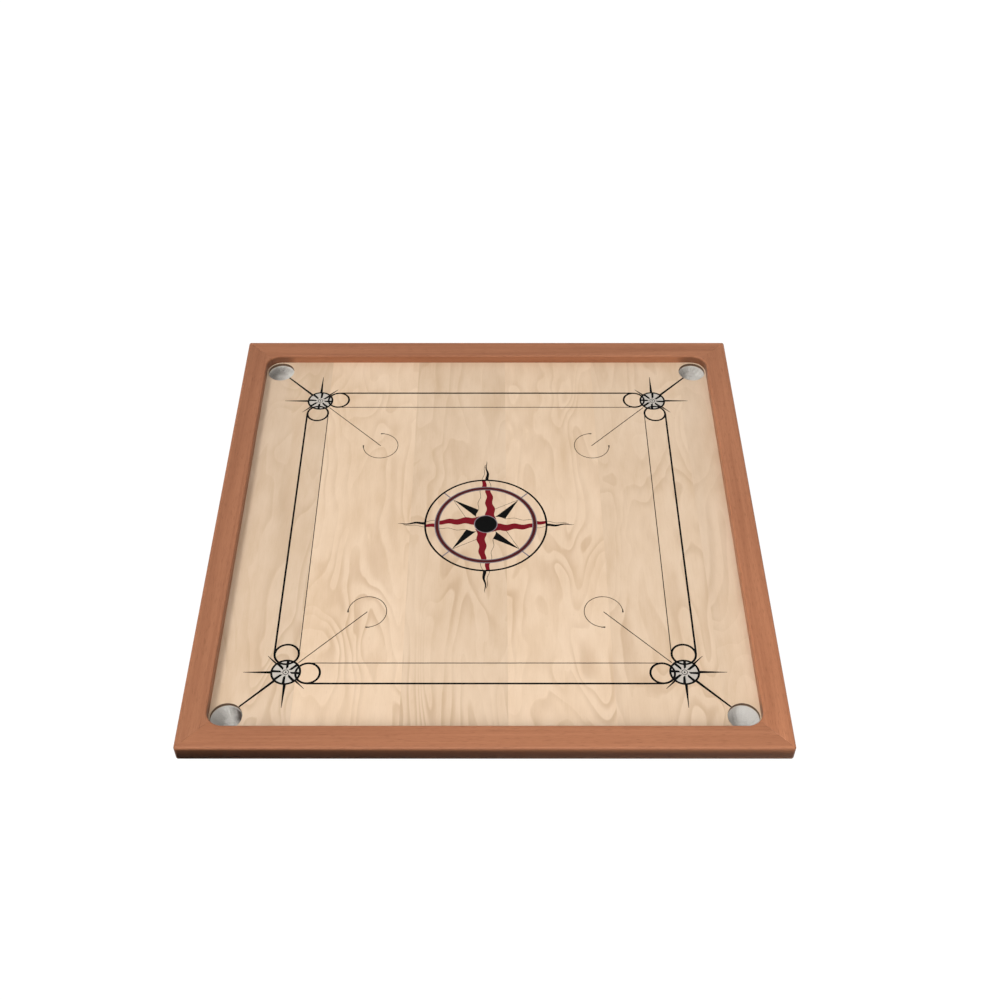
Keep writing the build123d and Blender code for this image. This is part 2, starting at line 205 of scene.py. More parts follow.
class Value:
    """A node's output. Arithmetic on it adds Math nodes."""

    def __init__(self, paint, socket):
        self.paint = paint
        self.socket = socket

    def maths(self, operation, *values):
        inputs = dict(enumerate(values))
        return self.paint.node("ShaderNodeMath", {"operation": operation}, inputs)

    def __add__(self, other):
        return self.maths("ADD", self, other)

    def __sub__(self, other):
        return self.maths("SUBTRACT", self, other)

    def __rsub__(self, other):
        return self.maths("SUBTRACT", other, self)

    def __mul__(self, other):
        return self.maths("MULTIPLY", self, other)

    def __truediv__(self, other):
        return self.maths("DIVIDE", self, other)

    def __pow__(self, other):
        return self.maths("POWER", self, other)

    def __abs__(self):
        return self.maths("ABSOLUTE", self)

    __radd__ = __add__
    __rmul__ = __mul__

    def fraction(self):
        return self.maths("FRACT", self)

    def sine(self):
        return self.maths("SINE", self)

    def between(self, low, high):
        """0 at low, 1 at high, with soft ends."""
        settings = {"interpolation_type": "SMOOTHSTEP"}
        inputs = {"Value": self, "From Min": low, "From Max": high, "To Min": 0.0, "To Max": 1.0}
        return self.paint.node("ShaderNodeMapRange", settings, inputs)


class Paint:
    """A material whose nodes all come from one method."""

    def __init__(self, name):
        self.material = bpy.data.materials.new(name)
        self.material.use_nodes = True
        self.tree = self.material.node_tree
        self.tree.nodes.clear()
        self.own_place = None

    def node(self, kind, settings=None, inputs=None, output=None):
        """Adds a node, sets its settings, then its sockets, and returns one of its outputs."""
        node = self.tree.nodes.new(kind)
        for key, value in (settings or {}).items():
            setattr(node, key, value)
        for key, value in (inputs or {}).items():
            socket = node.inputs[key] if isinstance(key, int) else self.named(node.inputs, key)
            if isinstance(value, Value):
                self.tree.links.new(value.socket, socket)
            else:
                socket.default_value = value
        if not node.outputs:
            return node
        return Value(self, self.named(node.outputs, output) if output else self.first(node.outputs))

    @staticmethod
    def named(sockets, name):
        return next(s for s in sockets if s.name == name and s.enabled)

    @staticmethod
    def first(sockets):
        return next(s for s in sockets if s.enabled)

    def place(self):
        """The point in the board's own frame."""
        if self.own_place is None:
            self.own_place = self.node("ShaderNodeTexCoord", output="Object")
        return self.own_place

    def cloth_place(self):
        """The point on the flat cloth, in metres across and down."""
        return self.node("ShaderNodeUVMap", {"uv_map": "cloth"})

    def parts(self, vector):
        """The three numbers of a vector."""
        return [self.node("ShaderNodeSeparateXYZ", None, {"Vector": vector}, axis) for axis in "XYZ"]

    def vectors(self, operation, *values):
        """One step of arithmetic on vectors."""
        return self.node("ShaderNodeVectorMath", {"operation": operation}, dict(enumerate(values)))

    def stretched(self, rates, shift=(0.0, 0.0, 0.0)):
        """The board's own frame times three rates, moved by a shift."""
        return self.vectors("MULTIPLY_ADD", self.place(), rates, shift)

    def bent(self, vector, push, amount):
        """The vector pushed sideways by a colour noise."""
        centred = self.vectors("SUBTRACT", push, (0.5, 0.5, 0.5))
        return self.vectors("ADD", vector, self.vectors("MULTIPLY", centred, amount))

    def noise(self, vector, detail=2.0, rough=0.5, distortion=0.0, output="Fac"):
        inputs = {
            "Vector": vector,
            "Scale": 1.0,
            "Detail": detail,
            "Roughness": rough,
            "Distortion": distortion,
        }
        return self.node("ShaderNodeTexNoise", {"noise_dimensions": "3D"}, inputs, output)

    def grain(self, rates, shift=(0.0, 0.0, 0.0), **more):
        """Noise over the board's own frame, with a rate along each axis."""
        return self.noise(self.stretched(rates, shift), **more)

    def mixed(self, factor, first, second, way="MIX"):
        """Two colours mixed by a factor."""
        settings = {"data_type": "RGBA", "blend_type": way}
        inputs = {"Factor": factor, "A": rgba(first), "B": rgba(second)}
        return self.node("ShaderNodeMix", settings, inputs)

    def finish(self, base, rough, bump=None, bump_height=0.0, metallic=0.0, coat=0.0, **fixed):
        """The surface itself; what varies goes in as a Value, the rest is set on its socket."""
        inputs = {
            "Base Color": rgba(base),
            "Roughness": rough,
            "Metallic": metallic,
            "Coat Weight": coat,
            "Coat Roughness": 0.3,
        }
        if bump is not None:
            bump_inputs = {"Strength": 1.0, "Distance": bump_height, "Height": bump}
            inputs["Normal"] = self.node("ShaderNodeBump", None, bump_inputs)
        for key, value in fixed.items():
            inputs[key.replace("_", " ").title().replace("Ior", "IOR")] = value
        surface = self.node("ShaderNodeBsdfPrincipled", None, inputs)
        self.node("ShaderNodeOutputMaterial", None, {"Surface": surface})
        return self.material


def rgba(value):
    """A colour with its fourth number, or a Value as it is."""
    return value if isinstance(value, Value) else (*value, 1.0)


def shaded(tone, amount):
    """A colour made lighter or darker."""
    return tuple(min(1.0, part * amount) for part in tone)


# ------------------------------------------------------------------ materials


def hardwood(name, settings, along_x, seed, tones):
    """Fine straight-grained reddish hardwood under satin lacquer, its tone drifting from end to end."""
    paint = Paint(name)

    def grain(rate_along, rate_across, number, **more):
        rates = [rate_along, rate_across, rate_across]
        if not along_x:
            rates = [rate_across, rate_along, rate_across]
        shift = (seed + 3.1 * number, seed * 1.7 - number, seed * 0.6 + number)
        return paint.grain(rates, shift, **more)

    drift = grain(1.6, 7.0, 1, detail=2.0)
    band = grain(1.3, 60.0, 2, detail=3.0, rough=0.55, distortion=0.6)
    streak = grain(5.0, 300.0, 3, detail=4.0, rough=0.6)
    fibre = grain(45.0, 1500.0, 4, detail=2.0)
    pore = grain(70.0, 2100.0, 5, detail=1.0).between(0.60, 0.70)
    tint = (band * 0.75 + streak * 0.45 + drift * 0.55 - 0.85) * 1.1 + 0.5
    across, along, height = paint.parts(paint.place())
    run = ((across if along_x else along) / (2.0 * HALF)) + 0.5
    first, last = tones
    light = paint.mixed(run, shaded(settings.light, first), shaded(settings.light, last))
    dark = paint.mixed(run, shaded(settings.dark, first), shaded(settings.dark, last))
    base = paint.mixed(tint.between(0.0, 1.0), dark, light)
    base = paint.mixed((fibre - 0.5) * 0.5 + 0.28, base, dark)
    base = paint.mixed(pore * 0.45, base, shaded(settings.dark, 0.55))
    # Painted shade: below its top edge, each rail's inner wall round a pocket is mixed towards a darkened
    # wood tone, standing in for the shade that falls into the frame's corners.
    to_pocket = ((abs(across) - POCKET_AT) ** 2.0 + (abs(along) - POCKET_AT) ** 2.0) ** 0.5
    corner_shade_mask = (1.0 - to_pocket.between(settings.inner_corner, 1.5 * settings.inner_corner)) * (
        (RAIL_TOP - height).between(1.0 * MM, 5.0 * MM)
    )
    base = paint.mixed(corner_shade_mask * settings.painted_corner_shade, base, shaded(settings.dark, 0.45))
    rough = streak * 0.12 + 0.36 + pore * 0.15
    relief = fibre * 0.25 + streak * 0.3 - pore * 0.6
    return paint.finish(base, rough, relief, 0.00005, coat=settings.coat, specular_ior_level=0.2)


def figured_veneer(name, settings, seed, tone, strength):
    """One leaf of pale lacquered veneer with flame figure and faint growth lines."""
    paint = Paint(name)
    shift = (seed * 2.3, seed * 1.1, seed * 0.7)
    push = paint.grain((7.0, 2.4, 1.0), shift, detail=2.0, output="Color")
    wide = paint.bent(paint.stretched((8.5, 2.3, 1.0), shift), push, (0.9, 1.5, 0.0))
    hill = paint.noise(wide, detail=2.5, rough=0.48)
    level = (hill * 18.0).fraction()
    line = level.between(0.35, 0.88) * (1.0 - level.between(0.90, 1.0))
    fade = 1.0 - paint.parts(paint.place())[1].between(-0.28, 0.22) * 0.6
    strength_map = paint.grain((12.0, 5.0, 1.0), shift, detail=1.0).between(0.34, 0.66)
    ray = paint.grain((75.0, 22.0, 1.0), shift, detail=3.0, rough=0.6)
    cloud = paint.grain((9.0, 4.5, 1.0), shift, detail=3.0, rough=0.55)
    fibre = paint.grain((900.0, 28.0, 1.0), shift, detail=2.0)
    fleck = paint.grain((1500.0, 110.0, 1.0), shift, detail=1.0).between(0.68, 0.76)
    tint = cloud * 0.75 + ray * 0.45 + level * 0.1 + (fibre - 0.5) * 0.22 - 0.12
    light = shaded(settings.light, tone)
    base = paint.mixed(tint.between(0.15, 1.05), light, shaded(settings.dark, tone * 1.06))
    base = paint.mixed(line * strength_map * fade * strength, base, shaded(settings.ring, tone))
    base = paint.mixed(fleck * 0.22, base, settings.ring)
    rough = fibre * 0.08 + 0.34
    return paint.finish(
        base, rough, fibre * 0.4 - fleck * 0.5, 0.00003, coat=settings.coat, specular_ior_level=0.3
    )


def plain_veneer(name, tone, rates, seed):
    """Sanded, unlacquered veneer or sawn wood with straight grain."""
    paint = Paint(name)
    shift = (seed, seed * 1.3, seed * 0.4)
    band = paint.grain(rates, shift, detail=4.0, rough=0.6, distortion=0.8)
    fibre = paint.grain([rate * 14.0 for rate in rates], shift, detail=2.0)
    tint = band * 0.8 + fibre * 0.4
    base = paint.mixed(tint.between(0.3, 0.9), shaded(tone, 0.72), shaded(tone, 1.08))
    return paint.finish(base, fibre * 0.15 + 0.6, fibre, 0.00008)


CORE_PLIES = 5.0


def ply_edge(name, settings):
    """The cut edge of the core: thin plies laid crosswise, seen in the walls of the pockets."""
    paint = Paint(name)
    height = paint.parts(paint.place())[2]
    ply = ((height - CORE_BOTTOM) / ((FACE_BOTTOM - CORE_BOTTOM) / CORE_PLIES)) * 0.5
    turn = ply.fraction().between(0.46, 0.54)
    glue = abs((ply * 2.0).fraction() - 0.5).between(0.44, 0.5)
    rough_cut = paint.grain((900.0, 900.0, 2500.0), detail=3.0, rough=0.6)
    long_cut = paint.grain((120.0, 120.0, 900.0), detail=2.0)
    tint = turn * 0.5 + rough_cut * 0.5 + long_cut * 0.3
    # The core colour is partly painted shade: it is darker than the plies' own brown, so that the pocket
    # holes' walls look shaded.
    base = paint.mixed(tint.between(0.2, 1.1), shaded(settings.core, 0.72), shaded(settings.core, 1.3))
    base = paint.mixed(glue * 0.5, base, shaded(settings.core, 0.4))
    return paint.finish(base, rough_cut * 0.2 + 0.6, rough_cut, 0.0001)


def softwood(name, settings, along_x, seed):
    """Planed softwood with dark summer lines."""
    paint = Paint(name)
    rates = (1.0, 22.0, 22.0) if along_x else (22.0, 1.0, 22.0)
    shift = (seed, seed * 0.8, seed * 1.9)
    bow = paint.grain(rates, shift, detail=2.0, rough=0.4)
    level = (bow * 13.0).fraction()
    summer = level.between(0.35, 0.9) * (1.0 - level.between(0.93, 1.0))
    fine = [rate * 30.0 for rate in rates]
    fibre = paint.grain(fine, shift, detail=3.0)
    base = paint.mixed(summer * 0.75 + (fibre - 0.5) * 0.4, settings.light, settings.dark)
    return paint.finish(base, fibre * 0.2 + 0.5, fibre * 0.6 + summer * 0.3, 0.0001)


def cotton(name, settings, toward, shade_painted):
    """Plain woven cotton, its threads laid round and down the pouch, with painted shade darkening one side.
    """
    paint = Paint(name)
    across, down, _ = paint.parts(paint.cloth_place())
    turns = math.tau / settings.thread
    warp = (across * turns).sine()
    weft = (down * turns).sine()
    over = (across * (turns / 2.0)).sine() * (down * (turns / 2.0)).sine()
    weave = abs(warp) * 0.5 + abs(weft) * 0.5 + over * 0.35
    slub = paint.grain((600.0, 600.0, 600.0), detail=3.0, rough=0.6)
    worn = paint.grain((90.0, 90.0, 90.0), detail=2.0)
    tint = weave * 0.35 + slub * 0.5 + worn * 0.3
    base = paint.mixed(tint.between(0.1, 1.1), shaded(settings.colour, 0.80), shaded(settings.colour, 1.08))
    # Painted shade: a band some way down from the rim, on the side the pouch leans to, is mixed towards a
    # near black, standing in for the shade deep in the pouch.
    side = (across * (math.tau / settings.around) + (math.pi / 2.0 - toward)).sine() + worn * 0.5 - 0.25
    depth = down.between(8 * MM, 14 * MM) * (1.0 - down.between(0.6 * settings.down, 0.95 * settings.down))
    base = paint.mixed(side.between(-0.35, 0.7) * depth * shade_painted, base, settings.painted_shade_colour)
    height = weave * 0.6 + slub * 0.4
    return paint.finish(base, slub * 0.1 + 0.82, height, 0.00012, sheen_weight=0.25, sheen_roughness=0.5)


def zinc_plate(name, settings, rate):
    """Zinc plated steel, slightly mottled and scuffed."""
    paint = Paint(name)
    spot = paint.grain((rate, rate, rate), detail=3.0, rough=0.6)
    scuff = paint.grain((rate * 9.0, rate * 2.0, rate * 5.0), detail=2.0)
    tint = spot * 0.7 + scuff * 0.3
    base = paint.mixed(tint.between(0.25, 0.75), shaded(settings.zinc, 0.72), shaded(settings.zinc, 1.12))
    return paint.finish(base, scuff * 0.25 + 0.28, scuff, 0.00002, metallic=1.0)


def ink(name, tone, seed):
    """Screen printed ink: nearly even, with the wood's fibre just showing through."""
    paint = Paint(name)
    shift = (seed, seed * 0.7, 0.0)
    fibre = paint.grain((1100.0, 60.0, 1.0), shift, detail=2.0)
    cover = paint.grain((170.0, 120.0, 1.0), shift, detail=3.0, rough=0.6)
    thin = (fibre * 0.6 + cover * 0.6).between(0.5, 0.95)
    pale = tuple(part * 1.25 + 0.003 for part in tone)
    base = paint.mixed(thin * 0.7, tone, pale)
    return paint.finish(base, cover * 0.12 + 0.36, fibre, 0.00001, specular_ior_level=0.05)


# ------------------------------------------------------------------ meshes


def new_mesh(name, points, faces):
    mesh = bpy.data.meshes.new(name)
    mesh.from_pydata(points, [], faces)
    return mesh


def linked(name, data):
    """A new object, put in the scene."""
    made = bpy.data.objects.new(name, data)
    bpy.context.scene.collection.objects.link(made)
    return made


def painted(name, material):
    """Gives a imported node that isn't replaced its material."""
    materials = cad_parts[name].data.materials
    materials.clear()
    materials.append(material)


def joined(shapes):
    """One mesh from several (points, faces)."""
    points, faces = [], []
    for shape_points, shape_faces in shapes:
        base = len(points)
        points += shape_points
        faces += [tuple(base + n for n in face) for face in shape_faces]
    return points, faces


def add_piece(name, points, faces, material, slot, nodes, sharp=32.0):
    """Makes a mesh piece, shades it smooth up to an angle and ties it to the frame."""
    mesh = new_mesh(name, points, faces)
    shape = bmesh.new()
    shape.from_mesh(mesh)
    bmesh.ops.remove_doubles(shape, verts=shape.verts, dist=0.000002)
    bmesh.ops.dissolve_degenerate(shape, edges=shape.edges, dist=0.000001)
    bmesh.ops.recalc_face_normals(shape, faces=shape.faces)
    for face in shape.faces:
        face.smooth = True
    for edge in shape.edges:
        edge.smooth = len(edge.link_faces) == 2 and edge.calc_face_angle() < math.radians(sharp)
    shape.to_mesh(mesh)
    shape.free()
    mesh.materials.append(material)
    piece = linked(name, mesh)
    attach(piece, BODY)
    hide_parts(*nodes)
    return piece


def arc(centre, radius, start, end, steps):
    """Points on an arc, angles in degrees."""
    angles = [math.radians(start + (end - start) * k / steps) for k in range(steps + 1)]
    return [(centre[0] + radius * math.cos(a), centre[1] + radius * math.sin(a)) for a in angles]


def circle(centre, radius, count):
    angles = [math.tau * k / count for k in range(count)]
    return [(centre[0] + radius * math.cos(a), centre[1] + radius * math.sin(a)) for a in angles]


def turned(point, angle):
    """A point turned about the board's centre, the angle in degrees."""
    c, s = math.cos(math.radians(angle)), math.sin(math.radians(angle))
    return (point[0] * c - point[1] * s, point[0] * s + point[1] * c, point[2])


def ring_faces(start, other, count):
    """Faces between two closed rings of points that start at these numbers."""
    return [(start + k, start + (k + 1) % count, other + (k + 1) % count, other + k) for k in range(count)]


def tube_faces(rows, count):
    """Faces of an open tube of this many rings, each of count points."""
    return [face for row in range(rows - 1) for face in ring_faces(row * count, (row + 1) * count, count)]


def end_faces(rows, count):
    """The two faces that close such a tube."""
    return [tuple(range(count)), tuple(range((rows - 1) * count, rows * count))]


def lathed(profile, count):
    """A turned solid from (radius, height) points; a radius of 0 becomes one point."""
    points, rows, faces = [], [], []
    for radius, height in profile:
        rows.append(len(points))
        if radius == 0.0:
            points.append((0.0, 0.0, height))
        else:
            points += [(x, y, height) for x, y in circle((0, 0), radius, count)]
    for (r0, _z0), (r1, _z1), a, b in zip(profile, profile[1:], rows, rows[1:]):
        for k in range(count):
            n = (k + 1) % count
            if r0 == 0.0:
                faces.append((a, b + n, b + k))
            elif r1 == 0.0:
                faces.append((a + k, a + n, b))
            else:
                faces.append((a + k, a + n, b + n, b + k))
    return points, faces


def plate(outline, holes, low, high, rim=0.0, rim_steps=4):
    """A flat plate with round holes, each (centre, radius, count), and a rounded upper rim on them."""
    points, faces = [], []

    def level(height, extra):
        loops = [outline] + [circle(centre, radius + extra, count) for centre, radius, count in holes]
        starts = []
        for loop in loops:
            starts.append(len(points))
            points.extend((x, y, height) for x, y in loop)
        return loops, starts

    heights = [(low, 0.0)]
    for k in range(rim_steps + 1 if rim else 1):
        angle = math.radians(90.0 * k / rim_steps) if rim else math.radians(90.0)
        heights.append((high - rim + rim * math.sin(angle), rim - rim * math.cos(angle) if rim else 0.0))
    levels = [level(height, extra) for height, extra in heights]
    for (loops, lower), (_, upper) in zip(levels, levels[1:]):
        for loop, a, b in zip(loops, lower, upper):
            faces += ring_faces(a, b, len(loop))
    for loops, starts in (levels[0], levels[-1]):
        flat = [[Vector((x, y, 0.0)) for x, y in loop] for loop in loops]
        faces += [tuple(starts[0] + k for k in face) for face in tessellate_polygon(flat)]
    return points, faces


# ------------------------------------------------------------------ rails


def rail_profile(settings):
    """(depth from the outer face, height, corner radius, outward normal) round a rail's section."""
    top, low, lip = settings.top_round, settings.bottom_round, settings.lip_round
    width, corner, inner = settings.width, settings.outer_corner, settings.inner_corner
    beside = 0.6 * MM  # a row of points close beside each rounding keeps the flats flat
    clear, bevel = 0.02 * MM, 0.4 * MM
    spots = []
    for x, z in arc((low, RAIL_BOTTOM + low), low, 270, 180, 5):
        spots.append((x, z, corner - x))
    spots.append((0.0, RAIL_BOTTOM + low + beside, corner))
    spots.append((0.0, RAIL_TOP - top - beside, corner))
    for x, z in arc((top, RAIL_TOP - top), top, 180, 90, 10):
        spots.append((x, z, corner - x))
    spots.append((top + beside, RAIL_TOP, corner - top - beside))
    spots.append((width - lip - beside, RAIL_TOP, inner + lip + beside))
    for x, z in arc((width - lip, RAIL_TOP - lip), lip, 90, 0, 7):
        spots.append((x, z, inner + width - x))
    spots.append((width, RAIL_TOP - lip - beside, inner))
    spots.append((width, FIELD_Z + clear, inner))
    spots.append((width - settings.rebate, FIELD_Z + clear, 0.0))
    spots.append((width - settings.rebate, RAIL_BOTTOM + bevel, 0.0))
    spots.append((width - settings.rebate - bevel, RAIL_BOTTOM, 0.0))
    return spots


def eased(spots, amount):
    """The section pulled in by a small amount all round."""
    moved = []
    for number, (x, z, _) in enumerate(spots):
        before, after = spots[number - 1], spots[(number + 1) % len(spots)]
        normal = Vector((0.0, 0.0))
        for a, b in ((before, (x, z)), ((x, z), after)):
            edge = Vector((b[0] - a[0], b[1] - a[1]))
            if edge.length > 1e-9:
                edge.normalize()
                normal += Vector((edge.y, -edge.x))
        normal.normalize()
        moved.append((x + normal.x * amount, z + normal.y * amount))
    return moved


def rail_mesh(settings):
    """The front rail: its section swept between two mitres, with rounded half corners at both ends."""
    spots = rail_profile(settings)
    pulled = eased(spots, settings.mitre_ease)
    steps = 8
    gap = settings.mitre_gap * math.sqrt(2.0)
    columns = []
    for (depth, height, radius), (shy_depth, shy_height) in zip(spots, pulled):
        centre = HALF - depth - radius
        half = []
        for k in range(steps + 1):
            angle = math.radians(225.0 + 45.0 * k / steps)
            x = -centre + radius * math.cos(angle)
            y = -centre + radius * math.sin(angle)
            half.append((max(x, y + gap + 2.0 * settings.mitre_ease), y, height))
        shy = (half[0][1] + (shy_depth - depth) + gap, half[0][1] + (shy_depth - depth), shy_height)
        left = [shy] + half
        columns.append(left + [(-x, y, z) for x, y, z in reversed(left)])
    across = len(columns[0])
    points = [point for column in columns for point in column]
    faces = []
    for k in range(len(columns)):
        a, b = k * across, (k + 1) % len(columns) * across
        faces += [(a + n, a + n + 1, b + n + 1, b + n) for n in range(across - 1)]
    for end in (0, across - 1):
        flat = [[Vector((c[end][1], c[end][2], 0.0)) for c in columns]]
        faces += [tuple(k * across + end for k in face) for face in tessellate_polygon(flat)]
    return points, faces


class CARROM_OT_rails(bpy.types.Operator):
    """Adds the four mitred hardwood rails"""

    bl_idname = "carrom.rails"
    bl_label = "Frame rails"

    def execute(self, context):
        settings = context.scene.carrom_rails
        points, faces = rail_mesh(settings)
        looks = {
            "front": (11.0, (1.01, 1.12)),
            "right": (23.0, (1.29, 1.05)),
            "back": (37.0, (1.04, 1.03)),
            "left": (51.0, (0.88, 0.95)),
        }
        for side, turn in SIDES.items():
            seed, tones = looks[side]
            wood = hardwood(f"hardwood {side}", settings, side in ("front", "back"), seed, tones)
            placed = [turned(point, turn) for point in points]
            add_piece(f"{side}_rail", placed, faces, wood, "rail_wood", [f"rail_{side}"])
        return {"FINISHED"}


class CARROM_OT_tongues(bpy.types.Operator):
    """Gives the hidden tongues in the mitres their wood"""

    bl_idname = "carrom.tongues"
    bl_label = "Mitre tongues"

    def execute(self, context):
        tone = context.scene.carrom_panel.backing
        wood = plain_veneer("tongue plywood", tone, (60.0, 60.0, 900.0), 5.0)
        for corner in CORNERS:
            painted(f"mitre_spline_{corner}", wood)
        return {"FINISHED"}


# ------------------------------------------------------------------ panel


RAIL_SCREWS_ALONG = (-0.300, -0.150, 0.0, 0.150, 0.300)
BATTEN_SCREWS_ALONG = (-0.320, -0.095, 0.095, 0.320)


def pocket_holes(settings, low_x=-HALF, high_x=HALF):
    """The pocket holes whose centres lie between two places along X."""
    return [
        ((x * POCKET_AT, y * POCKET_AT), settings.hole, 96)
        for x, y in CORNERS.values()
        if low_x < x * POCKET_AT < high_x
    ]


def screw_spots(stations, across):
    """Places along four lines, at this distance from the board's middle on each side."""
    spots = []
    for along in stations:
        for side in (-across, across):
            spots += [(along, side), (side, along)]
    return spots


def rail_screw_spots(head):
    """Where the rail screws' heads lie in the underside of the panel."""
    return screw_spots(RAIL_SCREWS_ALONG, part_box("rail_screws")[1].x - head)


def batten_screw_spots():
    """Where the batten screws' heads lie in the undersides of the battens."""
    return screw_spots(BATTEN_SCREWS_ALONG, BATTEN_AT)


class CARROM_OT_panel(bpy.types.Operator):
    """Adds the plywood core and the veneer under it"""

    bl_idname = "carrom.panel"
    bl_label = "Panel core and backing"

    def execute(self, context):
        settings = context.scene.carrom_panel
        half = PANEL_HALF
        outline = [(-half, -half), (half, -half), (half, half), (-half, half)]
        holes = pocket_holes(settings)
        points, faces = plate(outline, holes, CORE_BOTTOM, FACE_BOTTOM)
        plies = ply_edge("core plies", settings)
        add_piece("core_plies", points, faces, plies, "plywood_core", ["panel_core"])
        head = context.scene.carrom_fixings.head
        heads = [(spot, head + 0.05 * MM, 32) for spot in rail_screw_spots(head)]
        points, faces = plate(outline, holes + heads, PANEL_BOTTOM, CORE_BOTTOM)
        wood = plain_veneer("backing birch", settings.backing, (3.0, 45.0, 1.0), 17.0)
        add_piece("backing_leaf", points, faces, wood, "backing_veneer", ["panel_backing"])
        return {"FINISHED"}


class CARROM_OT_leaves(bpy.types.Operator):
    """Adds the six leaves of the playing field's face veneer"""

    bl_idname = "carrom.leaves"
    bl_label = "Face veneer leaves"

    def execute(self, context):
        settings = context.scene.carrom_panel
        looks = [
            (3.0, 0.835, 0.34),
            (7.5, 0.960, 0.45),
            (13.2, 0.893, 0.45),
            (19.7, 0.968, 0.50),
            (29.1, 0.915, 0.42),
            (41.6, 0.900, 0.34),
        ]
        for number, (seed, tone, strength) in enumerate(looks, start=1):
            node = f"face_veneer_{number}"
            low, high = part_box(node)
            outline = [(low.x, low.y), (high.x, low.y), (high.x, high.y), (low.x, high.y)]
            points, faces = plate(outline, pocket_holes(settings, low.x, high.x), low.z, high.z, settings.rim)
            wood = figured_veneer(f"face veneer {number}", settings, seed, tone, strength)
            add_piece(f"face_leaf_{number}", points, faces, wood, "face_veneer", [node])
        return {"FINISHED"}


# ------------------------------------------------------------------ pouches


def smooth_path(corners, steps):
    """Points at even distances along a smooth line through the given corners."""
    fine = 24
    dense = []
    for k, here in enumerate(corners[:-1]):
        before, onward = corners[max(k - 1, 0)], corners[k + 1]
        after = corners[min(k + 2, len(corners) - 1)]
        for n in range(fine):
            t = n / fine
            dense.append(
                tuple(
                    0.5
                    * (
                        2 * b
                        + (c - a) * t
                        + (2 * a - 5 * b + 4 * c - d) * t * t
                        + (3 * b - a - 3 * c + d) * t**3
                    )
                    for a, b, c, d in zip(before, here, onward, after)
                )
            )
    dense.append(corners[-1])
    walked = [0.0]
    for a, b in zip(dense, dense[1:]):
        walked.append(walked[-1] + math.dist(a, b))
    path, spot = [], 0
    for k in range(steps + 1):
        want = walked[-1] * k / steps
        while spot < len(walked) - 2 and walked[spot + 1] < want:
            spot += 1
        part = (want - walked[spot]) / max(walked[spot + 1] - walked[spot], 1e-12)
        a, b = dense[spot], dense[spot + 1]
        path.append((a[0] + (b[0] - a[0]) * part, a[1] + (b[1] - a[1]) * part))
    return path


POUCH_AROUND = 132  # points round the cloth
POUCH_DOWN = 40  # steps from its rim to its gathered end
POUCH_LEAN = 8.0  # how far the gathered end hangs to one side, in millimetres
POUCH_FLOOR = (POUCH_LOW.z - PANEL_BOTTOM) / MM + 0.35  # the lowest that the cloth may hang, in millimetres
RIM_MM = RIM_R / MM
PINNED_OUTSIDE, PINNED_INSIDE = 22.35, 1.5  # radii of the stapled rim and of the gathered end, in millimetres
HANG_FRAMES = 22

# (radius, height) from the rim to the gathered end, in millimetres
POUCH_CORNERS = [(30.4, -0.32), (27.0, -0.32), (24.2, -0.32), (22.6, -0.9), (21.9, -3.0), (21.0, -6.2)]
POUCH_CORNERS += [(18.6, -9.2), (14.6, -10.8), (10.0, -11.3), (5.5, -11.5), (2.4, -11.8), (0.3, -12.1)]


def pouch_start(seed, toward):
    """The gathered cloth before it settles, about the pocket's centre and under the panel, in millimetres."""
    draw = random.Random(seed)
    path = smooth_path(POUCH_CORNERS, POUCH_DOWN)
    waves = [(count, draw.uniform(0, math.tau), draw.uniform(0.6, 1.0)) for count in (11, 15, 19, 26)]
    ripple = draw.uniform(0, math.tau)
    rows = []
    for radius, depth in path:
        ring = []
        fold = max(0.0, min(1.0, (21.2 - radius) / 12.0))
        close = max(0.0, min(1.0, radius / 6.0))
        off = POUCH_LEAN * max(0.0, (-depth - 0.9) / 11.2)
        hanging = 1.0 if radius < 22.4 else 0.0
        for k in range(POUCH_AROUND):
            angle = math.tau * k / POUCH_AROUND
            here = (math.cos(angle) * 1.4, math.sin(angle) * 1.4, seed + radius * 0.09)
            wander = 0.35 * noise.noise(Vector(here))
            height = 0.0
            for number, (count, phase, size) in enumerate(waves):
                weight = size if number < 3 else size * fold
                height += weight * math.sin(count * (angle + wander) + phase) / (1.0 + 0.35 * number)
            crest = height / 2.2
            crest = 1.0 - 2.0 * abs(crest) ** 0.75 if crest < 0 else 1.0 - 1.2 * crest
            lift = 1.0 * fold * close**0.8 * crest
            reach = radius + 0.22 * (1.0 - fold) * hanging * math.sin(9 * angle + ripple)
            sag = depth * (1.0 + 0.10 * math.cos(angle - toward) * radius / RIM_MM)
            x = reach * math.cos(angle) + off * math.cos(toward)
            y = reach * math.sin(angle) + off * math.sin(toward)
            ring.append((x, y, max(sag, POUCH_FLOOR) + lift))
        rows.append(ring)
    held = [row for row, (radius, _) in enumerate(path) if radius > PINNED_OUTSIDE or radius < PINNED_INSIDE]
    return rows, held


